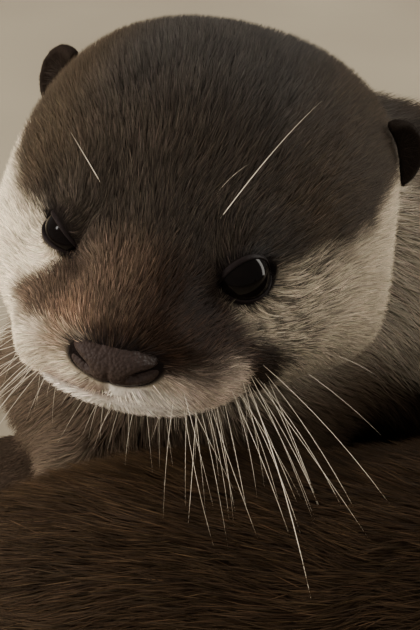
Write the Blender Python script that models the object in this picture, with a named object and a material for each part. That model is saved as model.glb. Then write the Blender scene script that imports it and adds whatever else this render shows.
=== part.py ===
"""A small-clawed otter, life size, lying curled with its head up over its own hips.

The animal lies on the floor in a left-hand curl: the tail root and the hips are at -Y, the
flank at +X, the shoulders at +Y, and the neck turns back so that the face looks to -Y.
The flesh is modelled whole, out to the tips of the coat, and then parted with thin cuts.
Metres, +Z up; the origin is under the middle of the animal, on the floor.
"""

import math

import bmesh
import bpy
import numpy as np
from mathutils import Matrix, Vector

MM = 0.001
GAP = 0.3 * MM  # between neighbouring solids
CLEARANCE = GAP / MM  # the same gap where sizes are in mm

# ---------------------------------------------------------------- driving sizes

BODY_VOXEL = 3.4 * MM
BODY_SMOOTHING = 8
BODY_TRIANGLES = 1860
HEAD_TRIANGLES = 1330
HEAD_SPACE = 1.4  # round the head where the body is cut back from it, in mm
HEAD_SPACE_TRIANGLES = 320
FOOT_VOXEL = 1.3 * MM
FOOT_SMOOTHING = 2
FOOT_TRIANGLES = 205

# Rows along and sides round each tube before the tubes are fused.
TRUNK_ROWS, TRUNK_SIDES = 60, 40
NECK_ROWS, NECK_SIDES = 20, 40
TAIL_ROWS, TAIL_SIDES = 44, 24
LEG_ROWS, LEG_SIDES = 14, 20
TOE_ROWS, TOE_SIDES = 8, 12
SLEEVE_ROWS, SLEEVE_SIDES = 7, 10
HEAD_RINGS, TIP_RINGS, HEAD_SIDES = 52, 12, 64

# The head's own frame: +X to the nose, +Y to the animal's left, +Z up, in mm.
HEAD_AT = Vector((-44, 2, 125)) * MM
HEAD_HEADING = math.radians(256.5)
HEAD_PITCH = math.radians(2.7)  # nose up
HEAD_TILT = math.radians(7.5)  # left side down
HEAD_CUT_X = -46  # where the neck takes over

# Along the head: x, top, bottom, half width, height of the widest line, and how square the
# section is above and below that line (2 is an ellipse).
HEAD_PROFILE = [
    (-66, 20.0, -36.0, 42.0, -7.0, 2.2, 2.2),
    (-46, 28.0, -35.0, 44.0, -7.0, 2.3, 2.3),
    (-30, 33.0, -34.5, 45.5, -8.0, 2.25, 2.4),
    (-14, 35.8, -34.0, 46.0, -9.0, 2.2, 2.5),
    (2, 34.3, -33.5, 45.0, -9.0, 2.05, 2.5),
    (16, 28.6, -32.5, 42.0, -9.0, 1.9, 2.5),
    (27, 21.0, -30.0, 37.0, -9.5, 1.7, 2.4),
    (36, 15.0, -27.5, 31.5, -9.5, 1.55, 2.3),
    (44, 10.0, -25.0, 26.0, -9.0, 1.7, 2.2),
    (51, 5.8, -22.0, 21.5, -8.5, 1.9, 2.1),
    (57, 2.4, -18.0, 16.5, -8.5, 2.0, 2.0),
    (60.5, -1.5, -13.0, 8.0, -7.0, 2.0, 2.0),
]
MUZZLE_X = 46  # from here to the tip the head's rings crowd together
TIP_BULGE = 1.2
EYE_SURFACE = Vector((36.0, 19.6, 5.3))
EYE_AXIS = Vector((0.68, 0.62, 0.40)).normalized()
EYE_RADIUS = 6.0
EYE_DEPTH = 3.2  # of the eyeball's centre under the face
NOSE_CENTRE = Vector((56.4, 0, -4.0))
NOSE_RADII = Vector((6.0, 9.9, 5.6))
NOSTRIL_AT = Vector((60.4, 6.2, -3.2))
NOSTRIL_AXIS = Vector((0.75, 0.62, -0.1))
NOSTRIL_RADII = (3.4, 1.9, 1.4)
EAR_CENTRE = Vector((-24.0, 41.5, 11.5))
EAR_AXIS = Vector((0.80, 0.55, 0.22)).normalized()
EAR_RADII = Vector((4.2, 8.0, 8.6))
EAR_HOLLOW_AT = Vector((3.6, 0, 0.6))  # in the ear's own frame
EAR_HOLLOW_RADII = (4.2, 6.2, 6.7)
MOUTH_FRONT = Vector((60, 0, -13.2))
MOUTH_CORNER = Vector((33, 0, -19.0))
JAW_BEHIND = 6  # how far the lower jaw's piece reaches behind the mouth's corner
JAW_SPACE = (40, 70, 24)  # length, width and depth of the space it is cut from

# Soft pushes that shape the face: centre, reach, offset, and the sides they are on.
FACE_PUSHES = [
    ((40, 21, 5), (7, 7, 6), (-1.6, -1.8, -0.6), (1, -1)),  # hollow round the eye
    ((30, 17, 14), (9, 7, 6), (0.6, 0.9, 1.0), (1, -1)),  # brow
    ((47, 14, 2), (7, 6, 5), (0, -1.6, -1.2), (1, -1)),  # side of the bridge
    ((50, 16, -9), (8, 7, 6), (1.2, 2.2, -0.4), (1, -1)),  # whisker pad
    ((24, 27, -8), (12, 9, 9), (1.5, 1.8, 0.2), (1, -1)),  # cheek under the eye
    ((60, 0, -10), (5, 2.2, 5), (-1.4, 0, 0), (1,)),  # groove under the nose
    ((0, 44, -22), (24, 14, 14), (0, 5, -5), (1,)),  # left cheek, inside the bend
]

# The curled spine, tail root to shoulder: x, y, bottom, top, half width, in mm.
TRUNK = [
    (-92, -48, 2, 64, 29),
    (-77, -57, -3, 84, 38),
    (-55, -64, -4, 97, 44),
    (-12, -67, -4, 99, 46),
    (32, -59, -4, 101, 47),
    (66, -30, -4, 103, 47),
    (78, 10, -4, 105, 47),
    (61, 46, -4, 109, 47),
    (26, 66, -3, 118, 47),
    (-10, 70, 0, 128, 45),
]
# From between the shoulders up to the back of the head: x, y, z, half width, half height.
NECK = [(-8, 72, 70, 44, 46), (-20, 66, 92, 44, 44)]
NECK_REACH, NECK_INSET = 14, 2.0  # how far the neck runs on inside the head, and how much slimmer
CHEST = ((-49, 38, 46), (57, 40, 50))  # centre and radii of the breast under the neck
THIGH = ((-34, -86, 42), (36, 27, 40))  # and of the right thigh
# The tail: x, y, half width, half height.
TAIL = [
    (-84, -56, 29, 27),
    (-109, -49, 24, 22),
    (-136, -30, 19, 17),
    (-152, 4, 15.5, 13.5),
    (-151, 44, 13, 11),
    (-134, 80, 11, 9),
    (-104, 108, 8.8, 7.4),
    (-68, 126, 6.6, 5.8),
    (-32, 136, 4.2, 4.0),
]
SOLE_SINK = 1.5  # how far round flesh is pressed flat by the floor

# Legs: x, y, z, radius from inside the trunk to the wrist or heel.
LEGS = {
    "foreleg_right": [(-26, 88, 58, 21), (-52, 88, 34, 16), (-72, 74, 18, 12.5), (-84, 60, 12, 9.6)],
    "foreleg_left": [(-60, 24, 52, 20), (-74, 6, 36, 16.5), (-84, 0, 20, 13), (-94, 3, 12, 9.8)],
    "hindleg_right": [(-42, -88, 46, 30), (-6, -104, 34, 21), (-26, -117, 20, 14), (-46, -120, 14, 10.5)],
    "hindleg_left": [(-22, -44, 46, 22), (8, -28, 30, 15), (-6, -20, 17, 12), (-18, -14, 12, 9.8)],
}
LEG_SLEEVE = 2.0  # how far outside a leg or the tail the cut that parts it lies
TAIL_SLEEVE = 3.0

# Feet: wrist or heel x, y, heading in degrees.
FEET_AT = {
    "forepaw_right": (-84, 60, 222),
    "forepaw_left": (-94, 3, 186),
    "hindfoot_right": (-46, -120, -4),
    "hindfoot_left": (-18, -14, 12),
}

# A foot in its own frame, +X to the toes: the sole's stations x, half width, height,
# then each toe's root y, tip x and tip y.
SOLES = {
    "forepaw": [(-4, 8.5, 17), (8, 10, 15), (18, 12, 12.5), (25, 12.5, 11)],
    "hindfoot": [(-5, 8, 19), (14, 9, 16), (34, 11.5, 13), (52, 13.5, 11)],
}
TOES = {
    "forepaw": [(-9.5, 33, -15), (-5, 41, -8), (0, 44, 0), (5, 41.5, 8), (9.5, 34, 15)],
    "hindfoot": [(-10.5, 64, -15), (-5.5, 76, -9), (0, 80, -1), (5.5, 77, 8), (10, 67, 15)],
}
TOE_RADIUS = 4.3
TOE_ROOT_BACK = 4  # how far inside the sole each toe starts

# Where the curl is parted: angles about its middle, in degrees from +X.
CURL_MIDDLE = Vector((8, 2, 0)) * MM
TRUNK_PARTS = [
    ("hips", 189, 300, THIGH),
    ("loin", 300, 337, None),
    ("ribs", 337, 377, None),
    ("chest", 377, 418, None),
    ("shoulders", 58, 104, None),
    ("neck", 104, 248, CHEST),
]
TAIL_PARTS = [("tail_end", 60, 147), ("tail_middle", 147, 177), ("tail_root", 177, 210)]

COLOURS = {
    "fur": (0.10, 0.075, 0.055),
    "pale_fur": (0.55, 0.50, 0.43),
    "foot": (0.12, 0.09, 0.07),
    "nose": (0.035, 0.025, 0.025),
    "eye": (0.008, 0.006, 0.005),
    "ear": (0.05, 0.038, 0.03),
}

ROUGHNESS = {"fur": 0.8, "pale_fur": 0.8, "foot": 0.7, "nose": 0.4, "eye": 0.05, "ear": 0.8}
MATERIAL_OF = {"eye": "eye", "nose": "nose", "ear": "ear", "lower": "pale_fur"}
MATERIAL_OF |= {"forepaw": "foot", "hindfoot": "foot"}

# ---------------------------------------------------------------- small helpers


def clear_scene():
    for obj in list(bpy.data.objects):
        bpy.data.objects.remove(obj)


def material(name):
    found = bpy.data.materials.get(name)
    if found:
        return found
    made = bpy.data.materials.new(name)
    made.use_nodes = True
    shader = made.node_tree.nodes["Principled BSDF"]
    shader.inputs["Base Color"].default_value = (*COLOURS[name], 1)
    shader.inputs["Roughness"].default_value = ROUGHNESS[name]
    shader.inputs["Metallic"].default_value = 0
    return made


def new_object(name, points, faces):
    mesh = bpy.data.meshes.new(name)
    mesh.from_pydata([tuple(p) for p in points], [], faces)
    obj = bpy.data.objects.new(name, mesh)
    bpy.context.scene.collection.objects.link(obj)
    tidy = bmesh.new()
    tidy.from_mesh(mesh)
    bmesh.ops.recalc_face_normals(tidy, faces=tidy.faces)
    tidy.to_mesh(mesh)
    tidy.free()
    return obj


def settle(obj):
    """Replaces the object's mesh by what its modifiers make of it."""
    bpy.context.view_layer.update()
    graph = bpy.context.evaluated_depsgraph_get()
    mesh = bpy.data.meshes.new_from_object(obj.evaluated_get(graph))
    obj.modifiers.clear()
    obj.data = mesh
    return obj


def boolean(obj, other, operation):
    modifier = obj.modifiers.new(operation.lower(), "BOOLEAN")
    modifier.operation = operation
    modifier.object = other
    modifier.solver = "EXACT"
    return settle(obj)


def discard(*objects):
    for obj in objects:
        bpy.data.objects.remove(obj)


def copy_of(obj, name):
    made = obj.copy()
    made.data = obj.data.copy()
    made.name = name
    bpy.context.scene.collection.objects.link(made)
    return made


def join(name, objects):
    """One object that holds all these closed shells."""
    gathered = bmesh.new()
    for obj in objects:
        gathered.from_mesh(obj.data)
    mesh = bpy.data.meshes.new(name)
    gathered.to_mesh(mesh)
    gathered.free()
    discard(*objects)
    made = bpy.data.objects.new(name, mesh)
    bpy.context.scene.collection.objects.link(made)
    return made


def fuse(obj, voxel, smoothing):
    """Melts overlapping shells into one rounded body."""
    remesh = obj.modifiers.new("remesh", "REMESH")
    remesh.mode = "VOXEL"
    remesh.voxel_size = voxel
    smooth = obj.modifiers.new("smooth", "SMOOTH")
    smooth.factor = 0.5
    smooth.iterations = smoothing
    return settle(obj)


def decimate(obj, triangles):
    obj.data.calc_loop_triangles()
    modifier = obj.modifiers.new("decimate", "DECIMATE")
    modifier.ratio = min(1.0, triangles / len(obj.data.loop_triangles))
    modifier.use_collapse_triangulate = True
    return settle(obj)


def trim(obj, point, normal):
    """Cuts away what lies on the normal's side of a plane and closes the cut with a flat."""
    work = bmesh.new()
    work.from_mesh(obj.data)
    geometry = work.verts[:] + work.edges[:] + work.faces[:]
    bmesh.ops.bisect_plane(
        work, geom=geometry, dist=1e-6, plane_co=point, plane_no=normal, clear_outer=True
    )
    rim = [edge for edge in work.edges if edge.is_boundary]
    bmesh.ops.holes_fill(work, edges=rim, sides=0)
    bmesh.ops.recalc_face_normals(work, faces=work.faces)
    bmesh.ops.triangulate(work, faces=[f for f in work.faces if len(f.verts) > 4])
    work.to_mesh(obj.data)
    work.free()
    return obj


def smooth_values(stations, places):
    """A smooth curve through the stations, read at places along their first column."""
    table = np.array(stations, float)
    at, values = table[:, 0], table[:, 1:]
    slopes = np.gradient(values, at, axis=0)
    index = np.clip(np.searchsorted(at, places, side="right") - 1, 0, len(at) - 2)
    step = (at[index + 1] - at[index])[:, None]
    t = np.clip((places - at[index])[:, None] / step, 0, 1)
    rise = t * t * (3 - 2 * t)
    start, end = values[index], values[index + 1]
    bend = t * (1 - t) ** 2 * slopes[index] - t * t * (1 - t) * slopes[index + 1]
    return start + (end - start) * rise + bend * step


def along(points, count):
    """count rows spaced evenly on a smooth curve through the points, whose first three
    columns are a place and whose others are sizes that change along it."""
    table = np.array(points, float)
    reach = np.r_[0, np.cumsum(np.linalg.norm(np.diff(table[:, :3], axis=0), axis=1))]
    return smooth_values(np.c_[reach, table], np.linspace(0, reach[-1], count))


def rings_to_solid(name, rings, ends):
    """A closed skin over rings of equal count, with one point closing each end."""
    count = len(rings[0])
    points = [p for ring in rings for p in ring] + list(ends)
    faces = []
    for row in range(len(rings) - 1):
        for column in range(count):
            after = (column + 1) % count
            low, high = row * count, (row + 1) * count
            faces.append((low + column, low + after, high + after))
            faces.append((low + column, high + after, high + column))
    last = (len(rings) - 1) * count
    tip = len(rings) * count
    for column in range(count):
        after = (column + 1) % count
        faces.append((column, tip, after))
        faces.append((last + column, last + after, tip + 1))
    return new_object(name, np.array(points) * MM, faces)


def tube(name, rows, sides, round_ends=(True, True)):
    """A solid along rows of x, y, z, half width, half height in mm, upright in section."""
    rows = np.array(rows, float)
    centres, half = rows[:, :3], rows[:, 3:5]
    tangents = np.gradient(centres, axis=0)
    tangents /= np.linalg.norm(tangents, axis=1)[:, None]
    angles = np.linspace(0, 2 * math.pi, sides, endpoint=False)
    rings, ends = [], []

    def ring(row, along_by, scale):
        side = np.cross((0, 0, 1), tangents[row])
        side /= np.linalg.norm(side)
        up = np.cross(tangents[row], side)
        middle = centres[row] + tangents[row] * along_by
        wide, high = half[row] * scale
        return [middle + side * wide * math.cos(a) + up * high * math.sin(a) for a in angles]

    caps = np.radians([70, 45, 22])
    if round_ends[0]:
        rings += [ring(0, -half[0].min() * math.sin(a), math.cos(a)) for a in caps]
    rings += [ring(row, 0, 1) for row in range(len(rows))]
    if round_ends[1]:
        rings += [ring(-1, half[-1].min() * math.sin(a), math.cos(a)) for a in caps[::-1]]
    ends.append(centres[0] - tangents[0] * half[0].min() * round_ends[0])
    ends.append(centres[-1] + tangents[-1] * half[-1].min() * round_ends[1])
    return rings_to_solid(name, rings, ends)


def ellipsoid(name, centre, radii, frame=None, segments=24, grow=0.0):
    """An ellipsoid in mm, its radii along the columns of frame."""
    made = bmesh.new()
    bmesh.ops.create_uvsphere(made, u_segments=segments, v_segments=segments // 2, radius=1)
    turn = frame.to_4x4() if frame else Matrix.Identity(4)
    size = Matrix.Diagonal([(radius + grow) * MM for radius in radii] + [1])
    made.transform(Matrix.Translation(Vector(centre) * MM) @ turn @ size)
    mesh = bpy.data.meshes.new(name)
    made.to_mesh(mesh)
    made.free()
    obj = bpy.data.objects.new(name, mesh)
    bpy.context.scene.collection.objects.link(obj)
    return obj


def facing(axis, up=(0, 0, 1)):
    """A frame whose X is the axis and whose Z is as near to up as it can be."""
    forward = Vector(axis).normalized()
    left = Vector(up).cross(forward).normalized()
    return Matrix((forward, left, forward.cross(left))).transposed()


def head_matrix():
    turn = Matrix.Rotation(HEAD_HEADING, 4, "Z")
    turn = turn @ Matrix.Rotation(-HEAD_PITCH, 4, "Y") @ Matrix.Rotation(-HEAD_TILT, 4, "X")
    return Matrix.Translation(HEAD_AT) @ turn


HEAD = head_matrix()


def in_head(point):
    """A point of the head's own frame, in mm, as a place in mm."""
    return HEAD @ (Vector(point) * MM) / MM


def mirrored(vector, side):
    return Vector((vector[0], vector[1] * side, vector[2]))


# ---------------------------------------------------------------- the head


def push(points, centre, reach, offset, sides):
    """Moves points near the centre by the offset, less with distance, on the sides named."""
    for side in sides:
        middle, move = np.array(mirrored(centre, side)), np.array(mirrored(offset, side))
        away = ((points - middle) / np.array(reach)) ** 2
        points += move * np.exp(-away.sum(axis=1))[:, None]


def head_surface(grow=0.0):
    """The whole head as rings across its length, shaped by its profile and by soft pushes."""
    back, front = HEAD_PROFILE[0][0], HEAD_PROFILE[-1][0]
    closing = np.sin(np.linspace(0.1, 1, TIP_RINGS) * math.pi / 2)
    tip_places = MUZZLE_X + (front - MUZZLE_X) * closing
    places = np.r_[np.linspace(back, MUZZLE_X, HEAD_RINGS), tip_places]
    rows = smooth_values(HEAD_PROFILE, places)
    angles = np.linspace(0, 2 * math.pi, HEAD_SIDES, endpoint=False)
    cosine, sine = np.cos(angles), np.sin(angles)
    rings = []
    for x, (top, bottom, wide, middle, square_above, square_below) in zip(places, rows):
        power = 2 / np.where(sine > 0, square_above, square_below)
        side = np.sign(cosine) * np.abs(cosine) ** power * (wide + grow)
        height = np.where(sine > 0, top + grow - middle, middle - bottom + grow)
        up = np.sign(sine) * np.abs(sine) ** power * height
        rings.append(np.c_[np.full_like(side, x), side, middle + up])
    points = np.concatenate(rings)
    for centre, reach, offset, sides in FACE_PUSHES:
        push(points, centre, reach, offset, sides)
    rings = points.reshape(len(places), len(angles), 3)
    ends = [rings[0].mean(axis=0), rings[-1].mean(axis=0) + (TIP_BULGE, 0, 0)]
    head = rings_to_solid("head", rings, ends)
    head.data.transform(HEAD)
    return head


def eye_centre(side):
    return in_head(mirrored(EYE_SURFACE - EYE_AXIS * EYE_DEPTH, side))


def eye(name, side, grow=0.0):
    frame = HEAD.to_3x3() @ facing(mirrored(EYE_AXIS, side))
    return ellipsoid(name, eye_centre(side), (EYE_RADIUS,) * 3, frame, 12, grow)


def nose(name, grow=0.0):
    """The bare nose pad, with its two nostrils in the solid itself."""
    pad = ellipsoid(name, in_head(NOSE_CENTRE), NOSE_RADII, HEAD.to_3x3(), 16, grow)
    if grow:
        return pad
    for side in (1, -1):
        frame = HEAD.to_3x3() @ facing(mirrored(NOSTRIL_AXIS, side))
        hole = ellipsoid("nostril", in_head(mirrored(NOSTRIL_AT, side)), NOSTRIL_RADII, frame, 8)
        boolean(pad, hole, "DIFFERENCE")
        discard(hole)
    return pad


def ear(name, side):
    """A round shallow cup that opens forwards and outwards."""
    frame = HEAD.to_3x3() @ facing(mirrored(EAR_AXIS, side))
    centre = in_head(mirrored(EAR_CENTRE, side))
    cup = ellipsoid(name, centre, EAR_RADII, frame, 14)
    hollow = ellipsoid("hollow", centre + frame @ EAR_HOLLOW_AT, EAR_HOLLOW_RADII, frame, 12)
    boolean(cup, hollow, "DIFFERENCE")
    discard(hollow)
    return cup


def mouth_box(grow=0.0):
    """The space of the lower jaw: under the mouth line and in front of its corner."""
    slope = (MOUTH_FRONT - MOUTH_CORNER).normalized()
    down = Vector((slope.z, 0, -slope.x))
    corner = MOUTH_CORNER - slope * (JAW_BEHIND + grow) - down * grow
    long, wide, deep = JAW_SPACE
    run, drop, across = slope * (long + grow), down * (deep + grow), Vector((0, wide, 0))
    points = [
        HEAD @ ((corner + run * i + drop * j + across * (k - 0.5)) * MM)
        for i in (0, 1)
        for j in (0, 1)
        for k in (0, 1)
    ]
    faces = [(0, 1, 3, 2), (4, 6, 7, 5), (0, 4, 5, 1), (2, 3, 7, 6), (0, 2, 6, 4), (1, 5, 7, 3)]
    return new_object("mouth_box", points, faces)


def swell(obj, by):
    modifier = obj.modifiers.new("swell", "DISPLACE")
    modifier.strength = by
    modifier.mid_level = 0
    return settle(obj)


def cut_seat(head, seat):
    boolean(head, seat, "DIFFERENCE")
    discard(seat)


def set_ear(name, side, head):
    """Cuts the ear's cup back to where it stands on the head."""
    cup = ear(name, side)
    clear = swell(copy_of(head, "clear"), GAP)
    boolean(cup, clear, "DIFFERENCE")
    discard(clear)
    keep_shell(cup)


def build_head():
    head = decimate(head_surface(), HEAD_TRIANGLES)
    trim(head, HEAD @ (Vector((HEAD_CUT_X, 0, 0)) * MM), HEAD.to_3x3() @ Vector((-1, 0, 0)))
    for word, side in (("left", 1), ("right", -1)):
        eye(f"eye_{word}", side)
        cut_seat(head, eye("socket", side, CLEARANCE))
        set_ear(f"ear_{word}", side, head)
    nose("nose")
    cut_seat(head, nose("seat", CLEARANCE))
    carve(head, "lower_jaw", mouth_box)


# ---------------------------------------------------------------- the body


def floor_row(x, y, wide, high):
    return (x, y, high - SOLE_SINK, wide, high)


def trunk_rows():
    return [(x, y, (low + top) / 2, wide, (top - low) / 2) for x, y, low, top, wide in TRUNK]


def neck_rows():
    rows = list(NECK)
    for x, inset in ((HEAD_CUT_X, 0.0), (HEAD_CUT_X + NECK_REACH, NECK_INSET)):
        top, bottom, wide = smooth_values(HEAD_PROFILE, np.array([x]))[0][:3]
        centre = in_head((x, 0, (top + bottom) / 2))
        rows.append((*centre, wide - inset, (top - bottom) / 2 - inset))
    return rows


def leg_rows(name):
    return [(*row, row[3]) for row in LEGS[name]]


def build_body():
    shells = [
        tube("trunk", along(trunk_rows(), TRUNK_ROWS), TRUNK_SIDES),
        tube("neck", along(neck_rows(), NECK_ROWS), NECK_SIDES),
        tube("tail", along([floor_row(*row) for row in TAIL], TAIL_ROWS), TAIL_SIDES),
        head_surface(),
        ellipsoid("breast", *CHEST),
        ellipsoid("thigh", *THIGH),
    ]
    shells += [tube(name, along(leg_rows(name), LEG_ROWS), LEG_SIDES) for name in LEGS]
    body = fuse(join("body", shells), BODY_VOXEL, BODY_SMOOTHING)
    decimate(body, BODY_TRIANGLES)
    return trim(body, Vector((0, 0, 0)), Vector((0, 0, -1)))


def foot(name):
    """A flat-soled foot with five short toes, its wrist or heel at its place."""
    kind = name.split("_")[0]
    x, y, heading = FEET_AT[name]
    rows = [(sx, 0, high / 2 - SOLE_SINK, wide, high / 2) for sx, wide, high in SOLES[kind]]
    shells = [tube("sole", along(rows, LEG_ROWS), LEG_SIDES)]
    knuckle = SOLES[kind][-1][0] - TOE_ROOT_BACK
    for root_y, tip_x, tip_y in TOES[kind]:
        root = (knuckle, root_y, TOE_RADIUS, TOE_RADIUS, TOE_RADIUS)
        middle_x, middle_y = (knuckle + tip_x) / 2 + 1, (root_y + tip_y) / 2
        middle = (middle_x, middle_y, TOE_RADIUS * 1.2, TOE_RADIUS, TOE_RADIUS)
        tip = (tip_x, tip_y, TOE_RADIUS * 0.8, TOE_RADIUS * 0.85, TOE_RADIUS * 0.85)
        shells.append(tube("toe", along([root, middle, tip], TOE_ROWS), TOE_SIDES))
    made = decimate(fuse(join(name, shells), FOOT_VOXEL, FOOT_SMOOTHING), FOOT_TRIANGLES)
    turn = Matrix.Rotation(math.radians(heading), 4, "Z")
    made.data.transform(Matrix.Translation(Vector((x, y, 0)) * MM) @ turn)
    return trim(made, Vector((0, 0, 0)), Vector((0, 0, -1)))


# ---------------------------------------------------------------- parting it


def keep_shell(obj, point=None):
    """Drops every loose shell but the largest, or but the one nearest to a point."""
    work = bmesh.new()
    work.from_mesh(obj.data)
    left, shells = set(work.verts), []
    while left:
        stack, shell = [left.pop()], []
        while stack:
            vertex = stack.pop()
            shell.append(vertex)
            for edge in vertex.link_edges:
                other = edge.other_vert(vertex)
                if other in left:
                    left.remove(other)
                    stack.append(other)
        shells.append(shell)
    if point:
        shells.sort(key=lambda shell: -min((v.co - point).length for v in shell))
    else:
        shells.sort(key=len)
    bmesh.ops.delete(work, geom=[v for shell in shells[:-1] for v in shell], context="VERTS")
    work.to_mesh(obj.data)
    work.free()


def carve(rest, name, cutter):
    """Parts what lies in the cutter from the rest, as a node of its own with a gap round it."""
    piece = copy_of(rest, name)
    exact, wide = cutter(0.0), cutter(CLEARANCE)
    boolean(piece, exact, "INTERSECT")
    boolean(rest, wide, "DIFFERENCE")
    discard(exact, wide)
    return piece


def part_between(whole, name, start, end):
    """A copy of what lies between two angles about the curl's middle, under 180 apart."""
    piece = copy_of(whole, name)
    for angle, side in ((start, -1), (end, 1)):
        turn = math.radians(angle)
        outward = Vector((-math.sin(turn), math.cos(turn), 0)) * side
        trim(piece, CURL_MIDDLE - outward * GAP / 2, outward)
    return piece


def sleeve(rows, margin):
    """A cutter round a limb or a tail, wider than it by the margin, in mm."""

    def cutter(grow):
        wider = [(*row[:3], row[3] + margin, row[4] + margin) for row in rows]
        wide = along(wider, SLEEVE_ROWS)
        start = Vector(wide[1, :3] - wide[0, :3]).normalized()
        wide[0, :3] -= np.array(start) * grow
        wide[:, 3:5] += grow
        return tube("sleeve", wide, SLEEVE_SIDES, (False, True))

    return cutter


def clear_the_head(body):
    """Cuts the body back from the space that the head fills."""
    cut = HEAD @ (Vector((HEAD_CUT_X - CLEARANCE, 0, 0)) * MM)
    space = decimate(head_surface(HEAD_SPACE), HEAD_SPACE_TRIANGLES)
    trim(space, cut, HEAD.to_3x3() @ Vector((-1, 0, 0)))
    boolean(body, space, "DIFFERENCE")
    discard(space)
    keep_shell(body)


def part_body(body):
    clear_the_head(body)
    tail = carve(body, "tail", sleeve([floor_row(*row) for row in TAIL[1:]], TAIL_SLEEVE))
    keep_shell(tail)
    for name in LEGS:
        keep_shell(carve(body, name, sleeve(leg_rows(name)[1:], LEG_SLEEVE)))
        keep_shell(body)
    for name, start, end, bulge in TRUNK_PARTS:
        keep_shell(part_between(body, name, start, end), bulge and Vector(bulge[0]) * MM)
    for name, start, end in TAIL_PARTS:
        keep_shell(part_between(tail, name, start, end))
    discard(body, tail)


def seat_feet():
    """Makes each foot and cuts its neighbours back from it."""
    for name in FEET_AT:
        made = foot(name)
        neighbours = [obj for obj in bpy.context.scene.objects if obj is not made]
        clear = swell(copy_of(made, "clear"), GAP)
        for other in neighbours:
            if near(other, clear):
                boolean(other, clear, "DIFFERENCE")
                keep_shell(other)
        discard(clear)


def near(a, b):
    """Whether the two objects' bounding boxes meet."""
    boxes = []
    for obj in (a, b):
        co = np.array([v.co for v in obj.data.vertices])
        boxes.append((co.min(axis=0), co.max(axis=0)))
    (low_a, high_a), (low_b, high_b) = boxes
    return bool((low_a < high_b).all() and (low_b < high_a).all())


def finish_nodes():
    """Shades each node smooth, gives it its material and puts the origin under the middle."""
    nodes = list(bpy.context.scene.objects)
    points = np.array([v.co for node in nodes for v in node.data.vertices])
    low, high = points.min(axis=0), points.max(axis=0)
    shift = Matrix.Translation((-(low[0] + high[0]) / 2, -(low[1] + high[1]) / 2, 0))
    for node in nodes:
        node.data.transform(shift)
        node.data.name = node.name
        node.data.shade_smooth()
        kind = node.name.split("_")[0]
        node.data.materials.clear()
        node.data.materials.append(material(MATERIAL_OF.get(kind, "fur")))


def main():
    clear_scene()
    part_body(build_body())
    seat_feet()
    build_head()
    finish_nodes()


main()
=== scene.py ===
"""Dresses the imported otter: one skin, a coat of tufts over it, eyes, nose, whiskers and claws.

Metres, +Z up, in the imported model's frame. Measures on the head are in mm in the head's own
frame: +X to the nose, +Y to the animal's left, +Z to its crown.
"""

import math
from types import SimpleNamespace

import bmesh
import bpy
import numpy as np
from mathutils import Matrix, Vector
from mathutils.bvhtree import BVHTree
from mathutils.kdtree import KDTree


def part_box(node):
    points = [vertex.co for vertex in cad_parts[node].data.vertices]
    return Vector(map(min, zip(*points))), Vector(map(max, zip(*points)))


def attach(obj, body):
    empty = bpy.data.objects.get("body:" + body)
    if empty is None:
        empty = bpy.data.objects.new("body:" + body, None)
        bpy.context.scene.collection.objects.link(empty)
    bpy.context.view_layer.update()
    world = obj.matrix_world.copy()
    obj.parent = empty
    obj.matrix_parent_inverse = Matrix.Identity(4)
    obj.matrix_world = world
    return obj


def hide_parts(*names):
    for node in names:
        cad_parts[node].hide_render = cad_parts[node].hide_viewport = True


MM = 0.001
RANDOM = np.random.default_rng(17)

# ---- driving sizes

SKIN_VOXEL = 2.0 * MM
SWELL = 0.9 * MM  # closes the gaps between the solids before the skin is fused
NAPE_SINK = 5.0  # mm the fur of the nape is pressed down behind the crown
EYE_FILL = 0.8  # the skin runs under each eyeball at this share of its radius
LOWEST_SKIN = 0.4 * MM  # neither the skin nor the tufts reach the floor
LOWEST_TUFT = 0.25 * MM

# The middles of the eyes and of the nose, in the head's own frame.
EYE_X, EYE_Y, EYE_Z = 33.8, 17.6, 4.0
NOSE_X, NOSE_Z = 56.4, -4.0
PAD_AT = np.array((56.5, 0.4, -5.0))
PAD_RADII = np.array((6.2, 9.1, 4.7))
EYE_AXIS = np.array((0.68, 0.62, 0.40))
EYE_RADIUS = 6.0
BALL_REACH = 6.4  # the lids' skin covers the eyeball out to here
EYE_FLATTEN = 0.86  # how far the front of the eye bulges, as a share of its radius
EYE_WIDE = 5.6  # half the opening between the lids, from corner to corner
EYE_TALL = {1: (3.9, 4.0), -1: (2.1, 1.7)}  # and up and down: the right eye is half closed
EYE_SLANT = math.radians(10)  # the corner towards the nose lies lower than the other
MOUTH_FRONT = (60.0, -13.2)  # x and z of the line of the mouth at the lips
MOUTH_CORNER = (33.0, -19.0)  # and at its corner

CHAIN = "neck shoulders chest ribs loin hips tail_root tail_middle tail_end".split()
LIMBS = {
    f"{leg}_{side}": f"{foot}_{side}"
    for leg, foot in (("foreleg", "forepaw"), ("hindleg", "hindfoot"))
    for side in ("left", "right")
}
EARS = ("ear_left", "ear_right")
FLESH = ["head", "lower_jaw", *CHAIN, *LIMBS, *LIMBS.values()]
FACE = (FLESH.index("head"), FLESH.index("lower_jaw"))
KINDS = np.array([name.split("_")[0] for name in (*FLESH, "ear")])  # each a key of COAT
FEET = ("forepaw", "hindfoot")

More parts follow.
